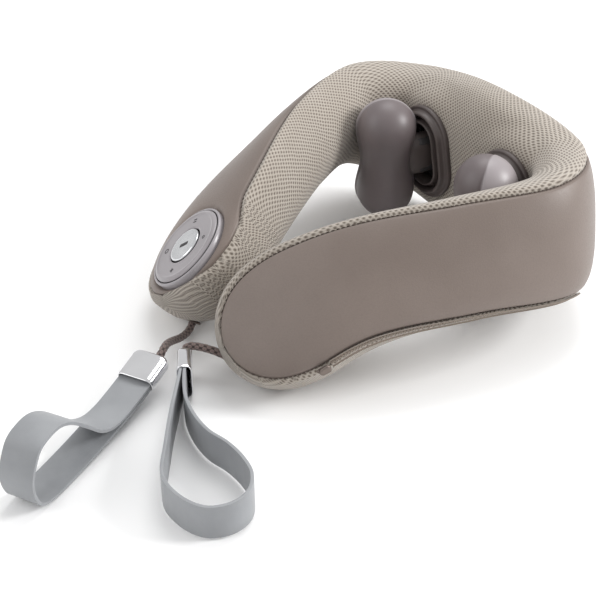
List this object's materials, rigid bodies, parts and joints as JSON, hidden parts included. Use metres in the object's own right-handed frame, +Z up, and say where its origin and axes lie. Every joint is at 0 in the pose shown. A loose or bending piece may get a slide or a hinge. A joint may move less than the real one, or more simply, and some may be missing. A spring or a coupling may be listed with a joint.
{
  "type": "shiatsu neck massager",
  "caption": "Padded collar massager with kneading heads on swash arms, sprung flexing wings, a tilting control ring with a push button, a zip and cord-hung hand loops.",
  "frame": {"origin": "centre of the footprint of the collar, without its hand loops, on the surface it stands on", "axes": "+Z up, -Y towards the opening between the wing tips, +X towards the wing without the control disc"},
  "size_m": [0.3016, 0.4654, 0.1303],
  "materials": {
    "leather": "satin",
    "knit_mesh": "matte",
    "foam": "matte",
    "case": "matte",
    "steel": "brushed",
    "bronze": "satin",
    "head_rubber": "satin",
    "boot_rubber": "matte",
    "circuit_board": "satin",
    "disc_rim": "satin",
    "disc_face": "satin",
    "chrome": "polished",
    "zip_metal": "satin",
    "zip_tape": "matte",
    "cord": "matte",
    "webbing": "satin"
  },
  "bodies": {
    "root": {"leather_cover_back": "leather", "mesh_cover_back": "knit_mesh", "foam_back": "foam", "gearbox_front": "case", "gearbox_rear": "case", "gearbox_screw_1": "steel", "gearbox_screw_2": "steel", "gearbox_screw_3": "steel", "gearbox_screw_4": "steel", "motor_can": "steel", "motor_clamp": "case", "shaft_bearing_left": "steel", "shaft_bearing_right": "steel", "main_pcb": "circuit_board", "charge_port": "case", "left_boot_flange": "boot_rubber", "left_boot_bellows": "boot_rubber", "right_boot_flange": "boot_rubber", "right_boot_bellows": "boot_rubber"},
    "main_shaft": {"main_shaft": "steel", "worm_wheel": "bronze", "left_swash_hub": "case", "right_swash_hub": "case"},
    "motor_worm": {"motor_worm": "steel"},
    "left_kneader": {"left_arm": "case", "left_hub_bearing": "steel", "left_head_core": "case", "left_head_skin": "head_rubber"},
    "right_kneader": {"right_arm": "case", "right_hub_bearing": "steel", "right_head_core": "case", "right_head_skin": "head_rubber"},
    "left_wing": {"leather_cover_left": "leather", "mesh_cover_left": "knit_mesh", "foam_left": "foam", "left_core": "case", "control_housing": "case", "control_bezel": "disc_rim", "control_pcb": "circuit_board", "left_eyelet": "chrome", "left_cord": "cord", "left_clasp": "chrome", "left_strap": "webbing"},
    "ring_spider": {"ring_spider": "case"},
    "function_ring": {"function_ring": "disc_face"},
    "power_button": {"power_button": "chrome"},
    "right_wing": {"leather_cover_right": "leather", "mesh_cover_right": "knit_mesh", "foam_right": "foam", "right_core": "case", "battery_pack": "case", "zipper_tape": "zip_tape", "right_eyelet": "chrome", "right_cord": "cord", "right_clasp": "chrome", "right_strap": "webbing"},
    "zipper_slider": {"zipper_slider": "zip_metal"}
  },
  "joints": [
    {"name": "main_shaft_spin", "type": "hinge", "parent": "root", "child": "main_shaft", "pos_m": [0, 0.114, 0.07], "axis": [1, 0, 0], "continuous": true},
    {"name": "motor_worm_spin", "type": "hinge", "parent": "root", "child": "motor_worm", "pos_m": [0, 0.1284, 0.07], "axis": [0, 0, 1], "continuous": true},
    {"name": "left_arm_wobble", "type": "hinge", "parent": "main_shaft", "child": "left_kneader", "pos_m": [-0.044, 0.114, 0.07], "axis": [0.9962, -0.0872, 0], "continuous": true},
    {"name": "right_arm_wobble", "type": "hinge", "parent": "main_shaft", "child": "right_kneader", "pos_m": [0.044, 0.114, 0.07], "axis": [0.9962, 0.0872, 0], "continuous": true},
    {"name": "left_wing_flex", "type": "hinge", "parent": "root", "child": "left_wing", "pos_m": [-0.12877, 0.09614, 0.08156], "axis": [-0.2675, -0.0362, -0.9629], "range_deg": [0, 15], "stiffness_Nm_per_rad": 1.5},
    {"name": "right_wing_flex", "type": "hinge", "parent": "root", "child": "right_wing", "pos_m": [0.12877, 0.09614, 0.08156], "axis": [-0.2675, 0.0362, 0.9629], "range_deg": [0, 15], "stiffness_Nm_per_rad": 1.5},
    {"name": "ring_tilt_across", "type": "hinge", "parent": "left_wing", "child": "ring_spider", "pos_m": [-0.04756, -0.12072, 0.05887], "axis": [0.3686, -0.7901, -0.4898], "range_deg": [-1.2, 1.2], "stiffness_Nm_per_rad": 0.6},
    {"name": "ring_tilt_along", "type": "hinge", "parent": "ring_spider", "child": "function_ring", "pos_m": [-0.04756, -0.12072, 0.05887], "axis": [0.8726, 0.1124, 0.4754], "range_deg": [-1.2, 1.2], "stiffness_Nm_per_rad": 0.6},
    {"name": "power_button_press", "type": "slide", "parent": "left_wing", "child": "power_button", "axis": [0.3205, 0.6026, -0.7309], "range_m": [0, 0.0012], "stiffness_N_per_m": 1500},
    {"name": "zipper_slider_run", "type": "hinge", "parent": "right_wing", "child": "zipper_slider", "pos_m": [0.12143, -0.04968, -0.07932], "axis": [-0.9468, 0.3216, -0.0068], "range_deg": [0, 20]}
  ],
  "couplings": [
    {"joint": "motor_worm_spin", "follows": "main_shaft_spin", "ratio": -30},
    {"joint": "left_arm_wobble", "follows": "main_shaft_spin", "ratio": -1},
    {"joint": "right_arm_wobble", "follows": "main_shaft_spin", "ratio": -1}
  ]
}
